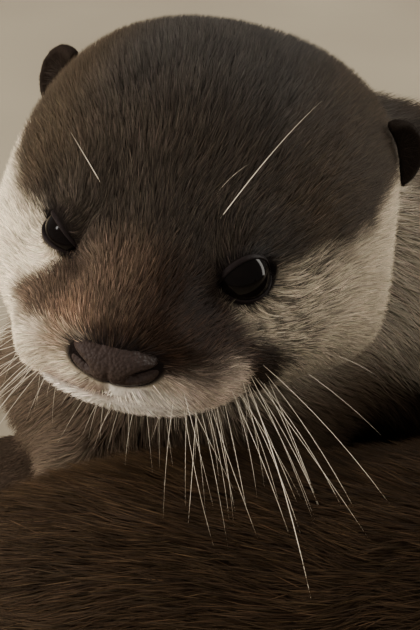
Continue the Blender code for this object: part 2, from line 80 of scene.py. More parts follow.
# The coat on each part: how deep the skin lies under its tips, how long and wide its tufts
# are, and how far apart they stand, in mm.
COAT = {
    "head": (2.4, 5.6, 0.34, 0.36),
    "lower": (1.5, 4.6, 0.32, 0.38),
    "ear": (0.3, 2.4, 0.26, 0.38),
    "neck": (4.0, 8.0, 0.44, 0.62),
    "shoulders": (4.6, 9.5, 0.50, 0.72),
    "chest": (4.6, 9.5, 0.50, 0.86),
    "ribs": (4.8, 9.5, 0.50, 0.86),
    "loin": (4.8, 9.5, 0.48, 0.80),
    "hips": (4.2, 9.0, 0.44, 0.72),
    "tail": (3.2, 8.0, 0.46, 0.80),
    "foreleg": (2.8, 7.0, 0.44, 0.80),
    "hindleg": (2.8, 7.0, 0.44, 0.80),
    "forepaw": (0.8, 2.6, 0.38, 0.66),
    "hindfoot": (0.8, 2.8, 0.38, 0.66),
    "muzzle": (1.0, 3.1, 0.28, 0.33),
    "ruff": (2.4, 9.0, 0.42, 0.46),
    "lids": (0.7, 1.9, 0.24, 0.29),
}

def rgb(*values):
    return np.array(values)


# Linear colours of the coat.
CROWN = rgb(0.042, 0.036, 0.031)
FOREHEAD = rgb(0.033, 0.025, 0.0185)
TEMPLE = rgb(0.045, 0.031, 0.019)
# Bridge: lighter-tipped brown with painted light, for the muzzle's right side toward the key.
# Muzzle shaded: brown with painted shade, for the side away from it and over the nose pad.
BRIDGE_LIT = rgb(0.088, 0.058, 0.039)
MUZZLE_SHADED = rgb(0.024, 0.013, 0.008)
REDDISH = rgb(0.19, 0.105, 0.066)
TAN = rgb(0.17, 0.108, 0.068)
CREAM = rgb(0.66, 0.55, 0.40)
PAD = rgb(0.58, 0.46, 0.36)
UPPER_LIP = rgb(0.90, 0.80, 0.68)
EAR_BROWN = rgb(0.022, 0.015, 0.011)
THROAT = rgb(0.70, 0.60, 0.46)
UNDER_CHIN = rgb(0.088, 0.062, 0.042)
BACK = rgb(0.024, 0.014, 0.007)
BELLY = rgb(0.07, 0.047, 0.03)
FOOT_BROWN = rgb(0.060, 0.040, 0.027)
LIP = rgb(0.36, 0.25, 0.20)
EYE_RIM = rgb(0.010, 0.007, 0.006)
NOSE_BLACK = rgb(0.012, 0.008, 0.007)

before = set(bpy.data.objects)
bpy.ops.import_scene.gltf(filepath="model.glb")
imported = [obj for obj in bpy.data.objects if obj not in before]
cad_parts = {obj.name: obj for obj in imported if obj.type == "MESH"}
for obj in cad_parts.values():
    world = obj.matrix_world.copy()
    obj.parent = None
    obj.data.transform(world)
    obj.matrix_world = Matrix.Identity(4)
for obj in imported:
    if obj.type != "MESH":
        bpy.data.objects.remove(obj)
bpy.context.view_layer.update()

# ---- the head's own frame


def middle_of(node):
    low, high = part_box(node)
    return (low + high) / 2


def head_frame():
    """The head's origin and its axes as columns, from where the eyes and the nose lie."""
    left_eye, right_eye, nose = map(middle_of, ("eye_left", "eye_right", "nose"))
    between = (left_eye + right_eye) / 2
    left = (left_eye - right_eye).normalized()
    ahead = nose - between
    ahead = (ahead - left * ahead.dot(left)).normalized()
    droop = math.atan2(EYE_Z - NOSE_Z, NOSE_X - EYE_X)
    forward = Matrix.Rotation(-droop, 3, left) @ ahead
    up = forward.cross(left)
    origin = between - (forward * EYE_X + up * EYE_Z) * MM
    return origin, np.array((forward, left, up)).T


HEAD_AT, HEAD_AXES = head_frame()


def to_head(points):
    """World places as mm in the head's frame."""
    return (points - np.array(HEAD_AT)) @ HEAD_AXES / MM


def from_head(points):
    return np.array(HEAD_AT) + np.asarray(points, float) * MM @ HEAD_AXES.T


# ---- small helpers


def unit(vectors):
    length = np.linalg.norm(vectors, axis=-1, keepdims=True)
    return vectors / np.maximum(length, 1e-12)


def bell(distance, reach):
    return np.exp(-((distance / reach) ** 2))


def rise(values, start, end):
    """0 before start and 1 after end, smooth in between; start may be above end."""
    t = np.clip((values - start) / (end - start), 0, 1)
    return t * t * (3 - 2 * t)


def mix(first, second, share):
    """Blends two colours, or rows of colours, by a share for each point."""
    return first + (second - first) * np.asarray(share)[..., None]


def near(head_points, place, reach):
    """1 at a place on the head, falling to 0 around it within about this reach."""
    return bell(np.linalg.norm(head_points - place, axis=1), reach)


def in_ellipsoid(points, middle, radii):
    """0 in the middle of an ellipsoid, 1 on its surface and more beyond it."""
    return np.sqrt((((points - middle) / radii) ** 2).sum(axis=1))


def mirrored(head_points):
    """The same places with the right side of the head laid over the left."""
    return head_points * (1, 0, 1) + np.abs(head_points) * (0, 1, 0)


def along_surface(ways, normals):
    """The directions pressed flat onto the surface."""
    return unit(ways - normals * (ways * normals).sum(axis=1)[:, None])


def round_angles(count):
    return np.linspace(0, 2 * math.pi, count, endpoint=False)


def sphere_ways(polar, count):
    """A ring of directions at this angle from +X."""
    around = round_angles(count)
    way = [np.full(count, math.cos(polar)), np.cos(around), np.sin(around)]
    return np.stack(way, axis=1) * (1, math.sin(polar), math.sin(polar))


LATTICE_SIDE = 32
LATTICE = RANDOM.uniform(-1, 1, (LATTICE_SIDE, LATTICE_SIDE, LATTICE_SIDE, 3))


def wobble(points, size):
    """Smooth noise from -1 to 1 in lumps of this size, three values for each point."""
    place = points / size + 100
    cell = np.floor(place).astype(int)
    part = place - cell
    part = part * part * (3 - 2 * part)
    value = 0
    for corner in np.ndindex(2, 2, 2):
        corner = np.array(corner)
        share = np.prod(np.where(corner, part, 1 - part), axis=1)
        i, j, k = ((cell + corner) % LATTICE_SIDE).T
        value = value + LATTICE[i, j, k] * share[:, None]
    return value


def bmesh_of(meshes):
    work = bmesh.new()
    for mesh in meshes:
        work.from_mesh(mesh)
    return work


def write_mesh(work, mesh):
    work.to_mesh(mesh)
    work.free()
    return mesh


def voxel_object(name, work, voxel, smoothing=0):
    """An object with one closed surface round the solids, in voxels of this size."""
    obj = add_object(name, write_mesh(work, bpy.data.meshes.new(name)))
    remesh = obj.modifiers.new("fuse", "REMESH")
    remesh.mode = "VOXEL"
    remesh.voxel_size = voxel
    if smoothing:
        obj.modifiers.new("smooth", "SMOOTH").iterations = smoothing
    bpy.context.view_layer.update()
    graph = bpy.context.evaluated_depsgraph_get()
    settled = bpy.data.meshes.new_from_object(obj.evaluated_get(graph))
    obj.modifiers.clear()
    obj.data = settled
    return obj


def add_object(name, data):
    obj = bpy.data.objects.new(name, data)
    bpy.context.scene.collection.objects.link(obj)
    return obj


def triangle_mesh(name, points, triangles):
    mesh = bpy.data.meshes.new(name)
    mesh.vertices.add(len(points))
    mesh.vertices.foreach_set("co", np.asarray(points, np.float32).ravel())
    mesh.loops.add(3 * len(triangles))
    mesh.loops.foreach_set("vertex_index", np.asarray(triangles, np.int32).ravel())
    mesh.polygons.add(len(triangles))
    mesh.polygons.foreach_set("loop_start", np.arange(0, 3 * len(triangles), 3, dtype=np.int32))
    mesh.update(calc_edges=True)
    mesh.shade_smooth()
    return mesh


def paint(mesh, colours):
    """Writes one linear colour for each point."""
    layer = mesh.color_attributes.new("tint", "FLOAT_COLOR", "POINT")
    rows = np.ones((len(colours), 4), np.float32)
    rows[:, :3] = colours
    layer.data.foreach_set("color", rows.ravel())


def read(collection, field, width=3, kind=np.float64):
    """One row of this field's values for each member."""
    values = np.empty(len(collection) * width, kind)
    collection.foreach_get(field, values)
    return values.reshape(-1, width)


def arrays_of(meshes):
    """The points, normals and triangles of several meshes, as one set."""
    for mesh in meshes:
        mesh.calc_loop_triangles()
    starts = np.cumsum([0] + [len(mesh.vertices) for mesh in meshes])
    points = np.concatenate([read(mesh.vertices, "co") for mesh in meshes])
    normals = np.concatenate([read(mesh.vertex_normals, "vector") for mesh in meshes])
    parts = [read(mesh.loop_triangles, "vertices", 3, np.int32) for mesh in meshes]
    return points, normals, np.concatenate([part + start for part, start in zip(parts, starts)])


def point_tree(points):
    tree = KDTree(len(points))
    for index, point in enumerate(points):
        tree.insert(point, index)
    tree.balance()
    return tree


def nearest_in(tree, points):
    """The index of the tree's nearest point, for each of these."""
    return np.array([tree.find(point)[1] for point in points])


def grid_mesh(name, rows):
    """A mesh over rows of points, each row a ring."""
    rows = np.asarray(rows)
    count, across = rows.shape[:2]
    faces = []
    for start in range(0, (count - 1) * across, across):
        for j in range(across):
            k = (j + 1) % across
            faces.append((start + j, start + k, start + across + k, start + across + j))
    mesh = bpy.data.meshes.new(name)
    mesh.from_pydata(rows.reshape(-1, 3).tolist(), [], faces)
    mesh.shade_smooth()
    return mesh


def join_meshes(name, meshes):
    work = bmesh_of(meshes)
    bmesh.ops.recalc_face_normals(work, faces=work.faces)
    made = write_mesh(work, bpy.data.meshes.new(name))
    made.shade_smooth()
    return made


def finish_piece(obj, slot, *nodes):
    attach(obj, "root")
    if nodes:
        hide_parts(*nodes)


def add_piece(name, mesh, material, slot, *nodes):
    mesh.materials.append(material)
    finish_piece(add_object(name, mesh), slot, *nodes)


# ---- materials


def shader_of(name, roughness, specular=0.5):
    made = bpy.data.materials.new(name)
    made.use_nodes = True
    shader = made.node_tree.nodes["Principled BSDF"]
    shader.inputs["Roughness"].default_value = roughness
    shader.inputs["Specular IOR Level"].default_value = specular
    return made, shader


def add_node(material, kind, **values):
    """A node with its inputs and properties set by name."""
    node = material.node_tree.nodes.new(kind)
    for key, value in values.items():
        label = key.replace("_", " ").title()
        if label in node.inputs:
            node.inputs[label].default_value = value
        else:
            setattr(node, key, value)
    return node


def mottled(material, shader, colour, scale, strength):
    """The colour, made lighter and darker in small patches by noise."""
    links = material.node_tree.links
    where = add_node(material, "ShaderNodeTexCoord")
    noise = add_node(material, "ShaderNodeTexNoise", scale=scale, detail=3.0)
    spread = add_node(material, "ShaderNodeMapRange")
    spread.inputs["To Min"].default_value = 1 - strength
    spread.inputs["To Max"].default_value = 1 + strength
    product = add_node(material, "ShaderNodeVectorMath", operation="SCALE")
    links.new(where.outputs["Object"], noise.inputs["Vector"])
    links.new(noise.outputs["Fac"], spread.inputs["Value"])
    links.new(colour, product.inputs[0])
    links.new(spread.outputs["Result"], product.inputs["Scale"])
    links.new(product.outputs["Vector"], shader.inputs["Base Color"])
    return where


def bumpy(material, shader, where, scale, height, kind="ShaderNodeTexNoise"):
    """Small relief from a texture, this many metres high."""
    links = material.node_tree.links
    texture = add_node(material, kind, scale=scale)
    bump = add_node(material, "ShaderNodeBump", strength=0.6, distance=height)
    links.new(where.outputs["Object"], texture.inputs["Vector"])
    links.new(texture.outputs[0], bump.inputs["Height"])
    links.new(bump.outputs["Normal"], shader.inputs["Normal"])


def painted_material(name, roughness, specular, scale, strength, bumps=None):
    """The tint painted on the hair, mottled by this strength."""
    made, shader = shader_of(name, roughness, specular)
    tint = add_node(made, "ShaderNodeAttribute", attribute_name="tint")
    where = mottled(made, shader, tint.outputs["Color"], scale, strength)
    if bumps:
        bumpy(made, shader, where, *bumps)
    return made


def plain_material(
    name, colour, roughness, scale, strength, height=0.0, specular=0.4, cells=False
):
    """One colour, mottled by this strength, and bumpy where a height is given."""
    made, shader = shader_of(name, roughness, specular)
    base = add_node(made, "ShaderNodeRGB")
    base.outputs[0].default_value = (*colour, 1)
    where = mottled(made, shader, base.outputs[0], scale, strength)
    if height:
        kind = "ShaderNodeTexVoronoi" if cells else "ShaderNodeTexNoise"
        bumpy(made, shader, where, scale, height, kind)
    return made


# ---- the skin


def flesh_owners():
    """A search tree over the solids of flesh, and the node that owns each of its faces."""
    meshes = [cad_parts[name].data for name in FLESH]
    points, _, triangles = arrays_of(meshes)
    owners = np.repeat(np.arange(len(FLESH)), [len(mesh.loop_triangles) for mesh in meshes])
    return BVHTree.FromPolygons(points.tolist(), triangles.tolist()), owners


def fused_flesh():
    """One closed skin round all the flesh, with no cut between solids left."""
    work = bmesh_of(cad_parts[name].data for name in (*FLESH, "nose"))
    for eye in ("eye_left", "eye_right"):
        place = Matrix.Translation(middle_of(eye))
        radius = EYE_RADIUS * EYE_FILL * MM
        bmesh.ops.create_icosphere(work, subdivisions=3, radius=radius, matrix=place)
    bmesh.ops.remove_doubles(work, verts=work.verts, dist=1e-6)
    work.normal_update()
    for vertex in work.verts:
        vertex.co += vertex.normal * SWELL
    return voxel_object("skin", work, SKIN_VOXEL)


def neighbour_mean(values, edges, count):
    first, second = edges.T
    total = len(values)
    sums = [
        np.bincount(first, column[second], total) + np.bincount(second, column[first], total)
        for column in values.reshape(total, -1).T
    ]
    return (np.stack(sums, axis=1) / count[:, None]).reshape(values.shape)


def soften(values, edges, rounds, share=0.5):
    """Blends each point's value with its neighbours' mean, in rounds."""
    count = np.bincount(edges.ravel(), minlength=len(values)).astype(float)
    share = np.asarray(share)
    if values.ndim > 1 and share.ndim:
        share = share[:, None]
    for _ in range(rounds):
        values = values + (neighbour_mean(values, edges, count) - values) * share
    return values


def refine_face(obj):
    """Splits the skin's faces finer on the muzzle and round the eyes."""
    for back, wide in ((16, 40), (30, 26)):
        work = bmesh_of([obj.data])
        centres = to_head(np.array([face.calc_center_median() for face in work.faces]))
        x, y, z = centres.T
        chosen = (x > back) & (np.abs(y) < wide) & (z > -40)
        work.faces.ensure_lookup_table()
        edges = {edge for index in np.nonzero(chosen)[0] for edge in work.faces[index].edges}
        bmesh.ops.subdivide_edges(work, edges=list(edges), cuts=1, use_grid_fill=True)
        bmesh.ops.triangulate(work, faces=[face for face in work.faces if len(face.verts) > 4])
        write_mesh(work, obj.data)


def mouth_height(x):
    """How high the line of the mouth lies, this far along the head."""
    (front_x, front_z), (corner_x, corner_z) = MOUTH_FRONT, MOUTH_CORNER
    return front_z + (x - front_x) * (front_z - corner_z) / (front_x - corner_x)


def face_relief(head_points):
    """How far the skin of the face stands out, in mm."""
    x, y, z = head_points.T
    from_mouth = z - mouth_height(x)
    at_mouth = rise(x, 36, 52) * (z > -30)
    relief = -2.0 * bell(from_mouth, 0.8) * at_mouth
    relief += 0.55 * bell(from_mouth - 2.2, 1.3) * at_mouth
    relief += 0.35 * bell(from_mouth + 2.0, 1.3) * at_mouth
    under_nose = rise(x, 54, 57) * rise(z, -14.5, -12.5) * rise(z, -6, -9)
    relief -= 0.8 * bell(y, 0.8) * under_nose
    both = mirrored(head_points)
    relief -= 1.1 * near(both, (43.5, 13.2, 4.0), 4.0)  # hollow before the eye
    relief += 1.2 * near(both, (34.5, 18.5, 12.5), 4.5)  # brow
    return relief


class Skin:
    """The skin's arrays, and what the coat needs at each point."""

    def __init__(self, obj):
        self.obj = obj
        self.refresh()

    def refresh(self):
        self.points, self.normals, self.triangles = arrays_of([self.obj.data])
        self.edges = read(self.obj.data.edges, "vertices", 2, np.int32)
        self.head = to_head(self.points)

    def move(self, points):
        self.obj.data.vertices.foreach_set("co", points.ravel())
        self.obj.data.update()
        self.refresh()


def make_skin():
    """The skin: sunk into the solids by the coat's depth, with relief and sockets."""
    obj = fused_flesh()
    refine_face(obj)
    skin = Skin(obj)
    bvh, owners = flesh_owners()
    skin.node = owners[[bvh.find_nearest(Vector(point))[2] for point in skin.points]]
    kinds = KINDS[skin.node]
    sizes = np.array([COAT[kind] for kind in KINDS])[skin.node]
    on_foot = np.isin(kinds, FEET)
    on_face = np.isin(skin.node, FACE)
    fine = on_foot | (on_face & (skin.head[:, 0] > 16))
    skin.move(soften(skin.points, skin.edges, 6, np.where(on_foot, 0.3, 0.5)))
    coat = soften(sizes, skin.edges, 12)
    skin.coat = np.where(on_face[:, None], fit_face_coat(coat, skin.head), coat)
    behind_head = np.isin(kinds, ("neck", "shoulders"))
    sink = NAPE_SINK * MM * rise(skin.head[:, 2], -4, 10) * behind_head
    sink = soften(sink, skin.edges, 12)[:, None]
    inward = unit(soften(skin.normals, skin.edges, 4))
    skin.move(skin.points - inward * (skin.coat[:, :1] * MM + SWELL + sink))
    skin.move(soften(skin.points, skin.edges, 2, np.where(fine, 0.15, 0.5)))
    relief = (face_relief(skin.head) * on_face)[:, None] * MM
    skin.move(skin.points + skin.normals * relief)
    open_sockets(skin, on_face)
    skin.move(np.maximum(skin.points, (-np.inf, -np.inf, LOWEST_SKIN)))
    return skin


def open_sockets(skin, on_face):
    """Draws the skin back, so that only the eyeball shows between the lids."""
    head = skin.head
    for side in (1, -1):
        local = about_eye(head, side)
        out, away, up = local.T
        radius = np.hypot(away, up)
        edge = opening(np.arctan2(up, -away), EYE_TALL[side])
        highest = ball_height(edge) + 0.15 + 1.6 * np.maximum(radius - edge - 0.5, 0)
        lowest = np.where(radius < BALL_REACH, ball_height(radius) + 0.35, -9.0)
        lid = np.maximum(np.minimum(out, highest), lowest)
        behind = np.minimum(out, ball_height(radius) - 0.9)
        moved = on_face & (radius < 9) & (out > 0) & (out < 14)
        local[moved, 0] = np.where(radius < edge - 0.1, behind, lid)[moved]
        head = local @ eye_axes(side).T + eye_middle(side)
    skin.move(from_head(head))


def fit_face_coat(coat, head_points):
    """Shorter towards the nose and the eyes, and longer on the cheeks' ruff."""
    x, _, z = head_points.T
    muzzle = rise(x, 14, 52) * rise(x, -60, -40) * (z > -38)
    ruff = rise(x, 4, -12) * rise(z, 8, 0) * (x > -62)
    lids = near(mirrored(head_points), (EYE_X + 2, EYE_Y + 2, EYE_Z + 1), 8.0)
    for part, share in (("muzzle", muzzle), ("ruff", ruff), ("lids", lids)):
        coat = mix(coat, np.array(COAT[part]), share)
    return coat


# ---- the lie of the coat


def head_lie(head_points):
    """Which way the hair points on the head, in its own frame."""
    x, y, z = head_points.T
    sign = np.tanh(y / 3)
    low = rise(z, 2, -10)
    muzzle = rise(x, 36, 50)
    out = 0.12 + 0.35 * muzzle * low + 0.1 * low
    down = np.where(z > 8, 0.15, 0) - 0.3 * low - 0.35 * muzzle * low
    lie = np.stack([-np.ones_like(x), sign * out, down], axis=1)
    for side in (1, -1):
        eye = (36.0, 19.6 * side, 5.3)
        lie += unit(head_points - eye) * (1.9 * near(head_points, eye, 7.5))[:, None]
    return lie


def guide_curve():
    """Places and directions along the spine from the head to the tail's tip."""
    knots = np.array([middle_of(name) for name in ("head", *CHAIN)])
    steps = np.linspace(0, len(knots) - 1.001, 10 * len(knots))
    index = steps.astype(int)
    part = (steps - index)[:, None]
    slopes = np.gradient(knots, axis=0)
    start, end = knots[index], knots[index + 1]
    smooth = part * part * (3 - 2 * part)
    bend = part * (1 - part) ** 2 * slopes[index] - part * part * (1 - part) * slopes[index + 1]
    places = start + (end - start) * smooth + bend
    return places, unit(np.gradient(places, axis=0)), steps


def foot_axis(points, leg):
    """The level way to the toes of the foot with these points."""
    middle = points.mean(axis=0)
    axis = np.linalg.svd(points - middle, full_matrices=False)[2][0]
    axis[2] = 0
    return unit(axis * np.sign(axis @ (middle - np.array(middle_of(leg)))))


def body_lie(skin):
    """Which way the hair points on the trunk, the tail, the legs and the feet."""
    places, ways, steps = guide_curve()
    lie = np.zeros_like(skin.points)
    for index, name in enumerate(FLESH):
        mine = skin.node == index
        points = skin.points[mine]
        if name in CHAIN:
            here = CHAIN.index(name) + 1
            close = np.abs(steps - here) < 1.6
            away = np.linalg.norm(points[:, None] - places[None, close], axis=2)
            share = bell(away, 0.03) + 1e-9
            way = (share[:, :, None] * ways[None, close]).sum(axis=1)
            lie[mine] = way / share.sum(axis=1)[:, None] + (0, 0, -0.22)
        elif name in LIMBS:
            way = middle_of(LIMBS[name]) - middle_of(name)
            lie[mine] = np.array(way.normalized())
    for leg, foot in LIMBS.items():
        mine = skin.node == FLESH.index(foot)
        lie[mine] = foot_axis(skin.points[mine], leg)
    return lie


def lie_of_coat(skin):
    on_head = np.isin(skin.node, FACE)
    lie = body_lie(skin)
    lie[on_head] = (head_lie(skin.head) @ HEAD_AXES.T)[on_head]
    lie = unit(lie)
    for rounds, share in ((40, np.where(on_head, 0.0, 0.5)), (8, 0.4)):
        lie = along_surface(soften(lie, skin.edges, rounds, share), skin.normals)
    return lie


# ---- markings

# The edge between the brown crown and the cream cheek: its height along the head.
EDGE_X = (-60, -9, 11, 19, 30, 38, 44, 60)
EDGE_Z = (0, 6.5, 4.6, 4.4, 4.6, 4.6, 3.0, 2.0)
# How far out the brown of the muzzle reaches, by height, on each side.
REACH_Z = (-12, -5, -0.3, 2.2, 5)
REACH_LEFT = (33.0, 27.0, 18.8, 15.8, 20.0)
REACH_RIGHT = (28.0, 28.0, 27.0, 24.0, 24.0)
# Spots on the face: where the middle of each lies and how far it reaches.
RED_SPOT = (56.0, -10.5, 0.0), 4.2
TAN_SPOT = (58.0, -11.8, -3.6), 4.3
BROW_SPOT = (27.5, 25.5, 9.0), 2.8  # on both sides, like the next
EYE_CORNER = (44.5, 12.8, 3.0), 3.6
# Patches on the neck: the middle and the radii of each.
THROAT_PATCH = (-28, 0, -30), (62, 84, 44)
UNDER_CHIN_PATCH = (-5, 0, -64), (52, 72, 42)
FORE_PARTS = ("neck", "shoulders", "chest", "foreleg")


def brown_share(x, y, z, ragged):
    """Where the head is brown: over the crown and down the muzzle to the lip."""
    side = np.abs(y)
    left = rise(y, -3, 3)
    edge = np.interp(x, EDGE_X, EDGE_Z) - 1.5 * (1 - left) * bell(x - 33, 9)
    crown = rise(z - edge + ragged, -2.6, 3.0)
    on_left, on_right = np.interp(z, REACH_Z, REACH_LEFT), np.interp(z, REACH_Z, REACH_RIGHT)
    reach = on_right + (on_left - on_right) * left + ragged
    lowest = -2.4 - 4.0 * rise(y, 4, 10) - 4.5 * rise(y, -4, -10) * rise(x, 57, 51)
    lowest -= 12.5 * left * rise(x, 49, 43)  # the dark band from the eye down to the lip
    start = 41.5 - 4.5 * left - 8.0 * rise(side, 19, 14)
    muzzle = rise(reach - side, -2.2, 2.2) * rise(z - lowest + ragged, -2.5, 3.0)
    muzzle *= rise(x - start, -1.5, 2.0)
    return np.maximum(crown, muzzle * (1 - 0.25 * left * rise(z, -2, -7) * rise(x, 44, 50)))


def pale_colours(x, y, z):
    """The cream of the cheeks, drawn darker on the left cheek as painted shade, the pinker left
    pad and the pale upper lip.
    """
    pad = rise(x, 42, 50) * rise(z, 2, -6) * rise(y, 8, 12) * rise(z, -16, -13)
    # Painted shade: the cream is a quarter darker on the left cheek, the side away from the key.
    pale = CREAM * (1 - 0.26 * rise(y, -3, 3) * rise(x, -2, 20))[:, None]
    pale = mix(pale, PAD, pad)
    lip = rise(y, -1.5, 0.5) * rise(y, 17, 10) * rise(z, -7.5, -9.5) * rise(x, 47, 53)
    return mix(pale, UPPER_LIP, np.maximum(lip, 0.8 * rise(x, 42, 50) * rise(z, -13, -15)))


def head_markings(head_points):
    x, y, z = head_points.T
    ragged = wobble(head_points, 6.0)[:, 0] * 1.5 + wobble(head_points, 2.2)[:, 1] * 0.9
    dorsal = mix(CROWN, FOREHEAD, rise(x, -2, 22))
    dorsal = mix(dorsal, TEMPLE, rise(np.abs(y), 12, 30) * rise(x, 34, 20) * 0.9)
    # Painted light and shade on the muzzle: lighter on its right side toward the key, darker on
    # its left.
    muzzle_light_and_shade = mix(MUZZLE_SHADED, BRIDGE_LIT, rise(y, 7, -5) * rise(y, -32, -22))
    dorsal = mix(dorsal, muzzle_light_and_shade, rise(x, 36, 46))
    colour = mix(pale_colours(x, y, z), dorsal, brown_share(x, y, z, ragged))
    both = mirrored(head_points)
    rim = rise(beyond_lids(head_points), 1.7 + 1.3 * rise(z, 3, 8), 1.0)
    mouth = z - mouth_height(x)
    bare = rise(y, 0, -1.5) * rise(y, -14, -11) * rise(x, 50, 54)
    bare *= rise(mouth, -1, 0) * rise(mouth, 4.0, 2.6)
    line = rise(x, 34, 38) * (0.25 + 0.75 * rise(y, 2, -1))
    from_nose = in_ellipsoid(head_points, PAD_AT, PAD_RADII)
    # Painted shade over the top of the nose pad, less on the right side toward the key.
    shaded = 0.85 * rise(from_nose, 1.5, 1.15) * rise(z, -6.5, -4) * (1 - 0.75 * rise(y, -3, -7))
    for over, share in (
        (REDDISH, 0.6 * near(head_points, *RED_SPOT)),
        (TAN, 0.92 * near(head_points, *TAN_SPOT)),
        (FOREHEAD * 0.5, 0.85 * near(both, *BROW_SPOT)),
        (EYE_RIM, rim),
        (EYE_RIM, 0.75 * near(both, *EYE_CORNER)),
        (LIP, np.maximum(0.85 * bare, 0.8 * bell(mouth, 1.0) * line)),
        (EYE_RIM * 2, bell(mouth, 0.4) * line),
        (MUZZLE_SHADED, shaded),
        (NOSE_BLACK, rise(from_nose, 1.15, 1.02)),
    ):
        colour = mix(colour, over, share)
    return colour


def body_markings(points, head_points, fore):
    """Brown, paler below, with a grey nape, a pale throat on the fore parts, and under the chin a
    brown drawn lighter towards the shaded fold as painted light.
    """
    x, y, z = head_points.T
    ragged = wobble(points, 0.02)[:, 0]
    body = mix(BACK, BELLY, rise(points[:, 2] + ragged * 0.008, 0.03, 0.008))
    body = body * (1 + 0.25 * wobble(points, 0.006)[:, :1])
    nape = rise(x, -115, -60) * rise(z, -34, -6) * rise(np.abs(y), 75, 25)
    body = mix(body, CROWN, nape * fore)
    # Painted light: the brown under the chin is drawn up to three times lighter towards the deep
    # fold on the left, where shade falls.
    under_chin_with_painted_fill = UNDER_CHIN * (1 + 2.0 * rise(y, 5, 40))[:, None]
    under = in_ellipsoid(head_points, *UNDER_CHIN_PATCH) + ragged * 0.096
    body = mix(body, under_chin_with_painted_fill, rise(under, 1.15, 0.8) * fore)
    throat = in_ellipsoid(head_points, *THROAT_PATCH) + wobble(points, 0.012)[:, 1] * 0.1
    heights = rise(z, -68, -44) * rise(z + ragged * 4 + 10 * rise(y, 25, 55), 4, -7)
    return mix(body, THROAT, rise(throat, 1.2, 0.7) * fore * heights)


def markings(points, nodes):
    """The coat's colour at each place, for the skin and for the tufts alike."""
    head_points = to_head(points)
    kinds = KINDS[nodes]
    body = body_markings(points, head_points, np.isin(kinds, FORE_PARTS))
    face = mix(head_markings(head_points), body, rise(head_points[:, 0], -40, -64))
    colour = np.where(np.isin(nodes, FACE)[:, None], face, body)
    colour = np.where((kinds == "ear")[:, None], EAR_BROWN, colour)
    return np.where(np.isin(kinds, FEET)[:, None], FOOT_BROWN, colour)


# ---- ears

EAR_VOXEL = 0.55 * MM
EAR_MIDDLE = np.array((-24.0, 41.5, 11.5))  # of the left one, in the head's frame


def make_ears():
    """Fine rounded copies of the ears' solids."""
    made = []
    for name in EARS:
        work = bmesh_of([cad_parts[name].data])
        bmesh.ops.remove_doubles(work, verts=work.verts, dist=1e-6)
        made.append(voxel_object(name + "_skin", work, EAR_VOXEL, 20))
    return made


def ear_surface(ears):
    """The ears' arrays, in the form of the skin's."""
    points, normals, triangles = arrays_of([obj.data for obj in ears])
    head = to_head(points)
    sides = np.where(head[:, 1:2] > 0, 1, -1) * (0, 1, 0) + (1, 0, 1)
    return SimpleNamespace(
        points=points,
        normals=normals,
        triangles=triangles,
        coat=np.tile(COAT["ear"], (len(points), 1)).astype(float),
        node=np.full(len(points), len(FLESH)),
        lie=along_surface(unit(head - EAR_MIDDLE * sides) @ HEAD_AXES.T, normals),
    )


# ---- the coat


def unwrap(mesh_points, triangles):
    """An unwrap of this piece of skin, as one (u, v) for each corner of each triangle."""
    used, compact = np.unique(triangles, return_inverse=True)
    mesh = triangle_mesh("unwrap", mesh_points[used], compact.reshape(-1, 3))
    obj = add_object("unwrap", mesh)
    bpy.context.view_layer.objects.active = obj
    bpy.ops.object.select_all(action="DESELECT")
    obj.select_set(True)
    bpy.ops.object.mode_set(mode="EDIT")
    bpy.ops.mesh.select_all(action="SELECT")
    bpy.ops.uv.smart_project(angle_limit=math.radians(66), island_margin=0.004)
    bpy.ops.object.mode_set(mode="OBJECT")
    corners = read(obj.data.uv_layers.active.uv, "vector", 2).reshape(-1, 3, 2)
    bpy.data.objects.remove(obj)
    return corners


TUFT_PATCH = 0.003  # how wide each tuft's patch is on the OFBake map
STRAND_SPREAD = 0.27  # how much lighter or darker one tuft is than the next
LIGHT_TIPPED = 0.16  # share of the tufts on the brown that end in a light tip
DARK_HAIRS = 0.85  # the most dark tufts on the pale, in streaks behind the left eye
# Painted shade: the roots are drawn darker, for the shadow deep in the coat.
ROOT_PAINTED_SHADE = 0.40  # how dark the roots are against the tuft's own colour
QUICK_SPACING, QUICK_WIDTH = 1.7, 1.6
SLOT_OF = {"coat_feet": "foot", "coat_ears": "ear", "coat_chin": "pale_fur"}
# A tuft has three points at its root and one at its tip. Its faces, and its points on the patch:
TUFT_FACES = np.array([(3, 2, 0), (3, 1, 2), (3, 0, 1)])
TUFT_PATCH_POINTS = np.array([(-0.5, -0.5), (0.5, -0.5), (0.0, -0.5), (0.0, 0.5)])


def scatter(surface, triangles, uv, spacing_scale):
    """Roots strewn over these triangles as closely as the coat asks."""
    corners = surface.points[triangles]
    across = np.cross(corners[:, 1] - corners[:, 0], corners[:, 2] - corners[:, 0])
    area = np.linalg.norm(across, axis=1) / 2
    spacing = surface.coat[triangles, 3].mean(axis=1) * MM * spacing_scale
    wanted = area / spacing**2
    count = np.floor(wanted + RANDOM.random(len(wanted))).astype(int)
    chosen = np.repeat(np.arange(len(triangles)), count)
    weights = RANDOM.random((len(chosen), 2))
    over = weights.sum(axis=1) > 1
    weights[over] = 1 - weights[over]
    weights = np.c_[1 - weights.sum(axis=1), weights][:, :, None]
    index = triangles[chosen]

    def at(values):
        return (values[index] * weights).sum(axis=1)

    roots = {
        "place": at(surface.points),
        "normal": unit(at(surface.normals)),
        "lie": unit(at(surface.lie)),
        "coat": at(surface.coat),
        "node": surface.node[index[:, 0]],
        "uv": (uv[chosen] * weights).sum(axis=1),
    }
    keep = has_hair(roots)
    return {key: value[keep] for key, value in roots.items()}


